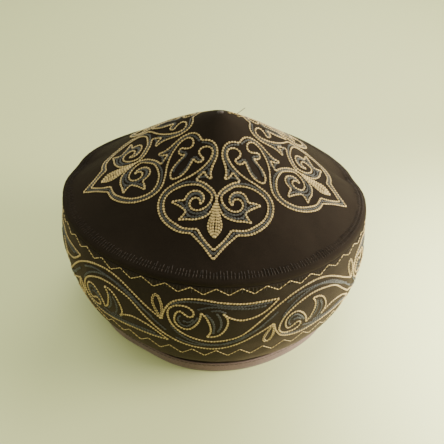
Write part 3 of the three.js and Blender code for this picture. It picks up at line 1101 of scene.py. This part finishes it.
class SKULLCAP_OT_peak(bpy.types.Operator):
    """Make the tuft and the loose thread end at the peak"""

    bl_idname = "skullcap.peak"
    bl_label = "Peak tuft"

    def execute(self, context):
        look = context.scene.skullcap_embroidery
        top = crown_point(0, 0)
        bm = bmesh.new()
        bmesh.ops.create_icosphere(bm, subdivisions=3, radius=TUFT_RADIUS * MM)
        for vert in bm.verts:
            vert.co *= 1 + TUFT_UNEVENNESS * noise.noise(vert.co * 1100)
            vert.co.z *= TUFT_FLATNESS
        bmesh.ops.translate(bm, verts=bm.verts, vec=top)
        for k in range(TUFT_FIBRES):
            around = k * TUFT_TURN
            reach = TUFT_RADIUS * MM * (0.3 + 0.7 * k / TUFT_FIBRES)
            out = Vector((math.cos(around), math.sin(around), 0)) * reach
            bend = Vector((math.cos(around + 1.2), math.sin(around + 1.2), 0.7)) * (TUFT_BEND * MM)
            root = top + out - Vector((0, 0, TUFT_ROOT_DEPTH * MM))
            path = [root, root + bend, root + bend * 1.4 + out * 0.5]
            thread_tube(bm, path, TUFT_FIBRE_RADIUS * MM, closed=False)
        new_object("peak_tuft", shaped_mesh("peak_tuft", bm), thread_material(
            "Tuft", look.overcast_color, TUFT_FINISH))

        bm = bmesh.new()
        for k in range(CREAM_ENDS):
            uneven = noise.noise_vector(Vector((k * 1.7, 2.5, k * 0.6)))
            turn = LOOSE_THREAD_TURN + 25 * uneven.x
            root = crown_point(CREAM_ENDS_REACH + CREAM_ENDS_STEP * k, math.radians(turn))
            step = Vector((1.2 + uneven.y, uneven.z, 0.35 * uneven.x)) * MM
            path = [root, root + step * 0.6 + Vector((0, 0, 0.5 * MM)), root + step * 1.4]
            thread_tube(bm, path, LOOSE_THREAD_RADIUS * MM, closed=False)
        new_object("peak_ends", shaped_mesh("peak_ends", bm), thread_material(
            "Loose cream ends", look.cream_color, LOOSE_FINISH))

        bm = bmesh.new()
        root = crown_point(LOOSE_THREAD_REACH, math.radians(LOOSE_THREAD_TURN))
        path = [root + Vector(step) * MM for step in LOOSE_THREAD]
        thread_tube(bm, path, LOOSE_THREAD_RADIUS * MM, closed=False)
        new_object("loose_thread", shaped_mesh("loose_thread", bm), thread_material(
            "Loose thread", look.navy_color, LOOSE_FINISH))
        return {"FINISHED"}


def add_lamp(light, place, aim):
    """Lamp at a place, turned towards its aim."""
    lamp = bpy.data.objects.new(light.name, light)
    lamp.location = place
    lamp.rotation_euler = (Vector(aim) - Vector(place)).to_track_quat("-Z", "Y").to_euler()
    bpy.context.scene.collection.objects.link(lamp)


class SKULLCAP_OT_stage(bpy.types.Operator):
    """Set the floor, the lights and the camera"""

    bl_idname = "skullcap.stage"
    bl_label = "Stage"

    def execute(self, context):
        look = context.scene.skullcap_stage
        bm = bmesh.new()
        bmesh.ops.create_grid(bm, x_segments=1, y_segments=1, size=FLOOR_HALF)
        mesh = bpy.data.meshes.new("floor")
        bm.to_mesh(mesh)
        bm.free()
        floor = bpy.data.objects.new("floor", mesh)
        context.scene.collection.objects.link(floor)
        material, _, _ = new_material("Floor", {
            "Base Color": (*look.floor_color, 1), "Roughness": FLOOR_ROUGHNESS})
        mesh.materials.append(material)

        world = bpy.data.worlds.new("Studio")
        world.use_nodes = True
        background = world.node_tree.nodes["Background"]
        background.inputs["Color"].default_value = ROOM_COLOR
        background.inputs["Strength"].default_value = ROOM_STRENGTH
        context.scene.world = world
        for name, place, size, power, color in LIGHTS:
            light = bpy.data.lights.new(name, "AREA")
            light.shape = "DISK"
            light.size = size
            light.energy = power
            light.color = color
            add_lamp(light, place, LIGHT_AIM)

        pool = bpy.data.lights.new("pool", "SPOT")
        pool.spot_size = math.radians(POOL_CONE)
        pool.spot_blend = POOL_BLEND
        pool.shadow_soft_size = POOL_SOFTNESS
        pool.energy = POOL_POWER
        add_lamp(pool, POOL_PLACE, POOL_AIM)

        camera = bpy.data.cameras.new("camera")
        camera.sensor_width = SENSOR_WIDTH
        camera.lens = look.lens
        camera.shift_x, camera.shift_y = look.shift
        holder = bpy.data.objects.new("camera", camera)
        back = Vector((0, -math.cos(look.elevation), math.sin(look.elevation))) * look.distance
        turn = (-back).to_track_quat("-Z", "Y").to_matrix().to_4x4()
        place = Matrix.Translation(Vector(look.aim) + back)
        holder.matrix_world = place @ turn @ Matrix.Rotation(look.roll, 4, "Z")
        context.scene.collection.objects.link(holder)
        context.scene.camera = holder
        return {"FINISHED"}


class SKULLCAP_PT_panel(bpy.types.Panel):
    """Sidebar panel with the pieces of the skullcap"""

    bl_label = "Skullcap"
    bl_idname = "SKULLCAP_PT_panel"
    bl_space_type = "VIEW_3D"
    bl_region_type = "UI"
    bl_category = "Skullcap"

    def draw(self, context):
        for name in SETTINGS:
            box = self.layout.box()
            settings = getattr(context.scene, name)
            for field in settings.__annotations__:
                box.prop(settings, field)
        for operator in OPERATORS:
            self.layout.operator(operator.bl_idname)


SETTINGS = {
    "skullcap_velvet": SKULLCAP_PG_velvet,
    "skullcap_embroidery": SKULLCAP_PG_embroidery,
    "skullcap_binding": SKULLCAP_PG_binding,
    "skullcap_stage": SKULLCAP_PG_stage,
}
OPERATORS = (
    SKULLCAP_OT_crown, SKULLCAP_OT_band, SKULLCAP_OT_binding, SKULLCAP_OT_seam, SKULLCAP_OT_crown_embroidery,
    SKULLCAP_OT_band_embroidery, SKULLCAP_OT_peak, SKULLCAP_OT_stage,
)
CLASSES = (*SETTINGS.values(), *OPERATORS, SKULLCAP_PT_panel)


def register():
    for cls in CLASSES:
        bpy.utils.register_class(cls)
    for name, group in SETTINGS.items():
        setattr(bpy.types.Scene, name, PointerProperty(type=group))


def unregister():
    for name in SETTINGS:
        delattr(bpy.types.Scene, name)
    for cls in reversed(CLASSES):
        bpy.utils.unregister_class(cls)


def main():
    """Build every piece in order."""
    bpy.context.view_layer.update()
    noise.seed_set(UNEVEN_SEED)
    register()
    bpy.ops.skullcap.crown()
    bpy.ops.skullcap.band()
    bpy.ops.skullcap.binding()
    bpy.ops.skullcap.seam()
    bpy.ops.skullcap.crown_embroidery()
    bpy.ops.skullcap.band_embroidery()
    bpy.ops.skullcap.peak()
    bpy.ops.skullcap.stage()
    bpy.context.view_layer.update()


if __name__ == "__main__":
    main()
